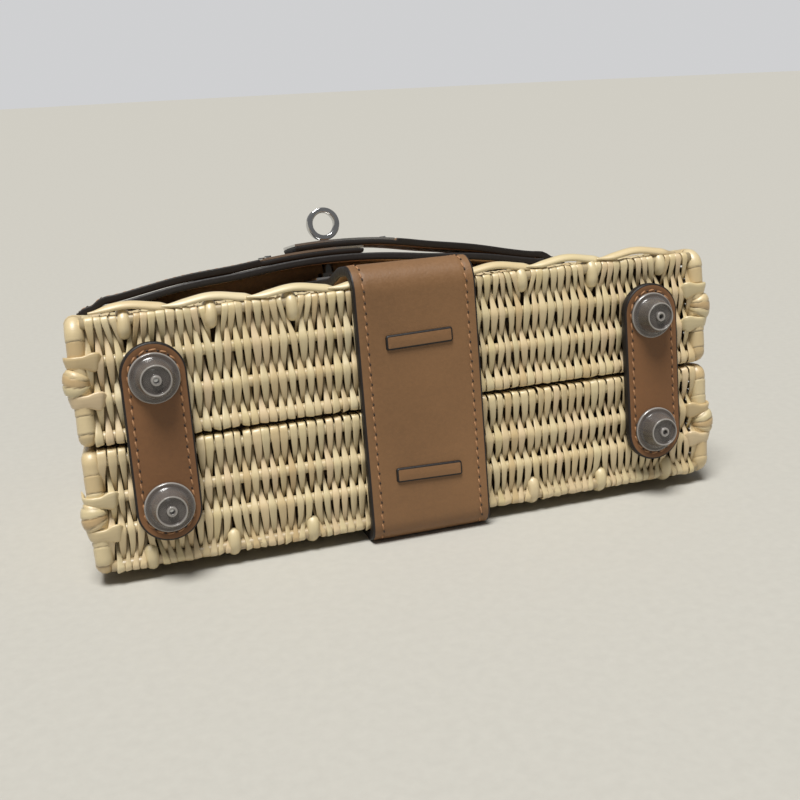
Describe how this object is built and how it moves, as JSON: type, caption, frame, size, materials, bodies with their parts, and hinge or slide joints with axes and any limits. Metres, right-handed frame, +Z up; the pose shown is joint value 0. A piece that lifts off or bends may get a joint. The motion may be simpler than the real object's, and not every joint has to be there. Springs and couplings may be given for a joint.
{
  "type": "basket box bag",
  "caption": "Woven box bag lying on its back, with leather band, flap and straps, a ring turn lock, a swinging top handle and capped metal feet.",
  "frame": {"origin": "on the ground, under the middle of the bag's outer box as it lies on its back", "axes": "+X along the bag's length, +Y from the base to the top and handle, +Z up, out of the front face"},
  "size_m": [0.1994, 0.192, 0.0891],
  "materials": {
    "wicker": "satin peeled willow, woven",
    "lining": "matte brown cloth",
    "leather": "fine-grained, semi-matte, dark painted edges",
    "polished_metal": "polished silver-coloured metal",
    "clear_plastic": "cloudy clear plastic"
  },
  "bodies": {
    "case": {"front_basket": "wicker", "back_basket": "wicker", "lining": "lining", "centre_band": "leather", "front_band_tie": "leather", "back_band_tie": "leather", "left_foot_tab": "leather", "right_foot_tab": "leather", "flap": "leather", "left_strap": "leather", "right_strap": "leather", "left_strap_loop": "leather", "right_strap_loop": "leather", "left_handle_tab": "leather", "right_handle_tab": "leather", "left_strap_plate": "polished_metal", "right_strap_plate": "polished_metal", "lock_plate": "polished_metal", "lock_post": "polished_metal", "lock_screws": "polished_metal", "strap_rivets": "polished_metal", "handle_tab_rivets": "polished_metal", "flap_rivets": "polished_metal", "foot_nuts": "polished_metal", "front_left_foot": "polished_metal", "front_left_foot_cap": "clear_plastic", "front_right_foot": "polished_metal", "front_right_foot_cap": "clear_plastic", "back_left_foot": "polished_metal", "back_left_foot_cap": "clear_plastic", "back_right_foot": "polished_metal", "back_right_foot_cap": "clear_plastic"},
    "lock_ring": {"lock_knob": "polished_metal"},
    "carry_handle": {"handle": "leather", "left_handle_ring": "polished_metal", "right_handle_ring": "polished_metal"}
  },
  "joints": [
    {"name": "lock_turn", "type": "hinge", "parent": "case", "child": "lock_ring", "pos_m": [0, 0.0145, 0.05862], "axis": [0, 0.198, 0.9802], "range_deg": [0, 90]},
    {"name": "handle_swing", "type": "hinge", "parent": "case", "child": "carry_handle", "pos_m": [0, 0.04607, 0.02753], "axis": [1, 0, 0], "range_deg": [-49, 91]}
  ]
}
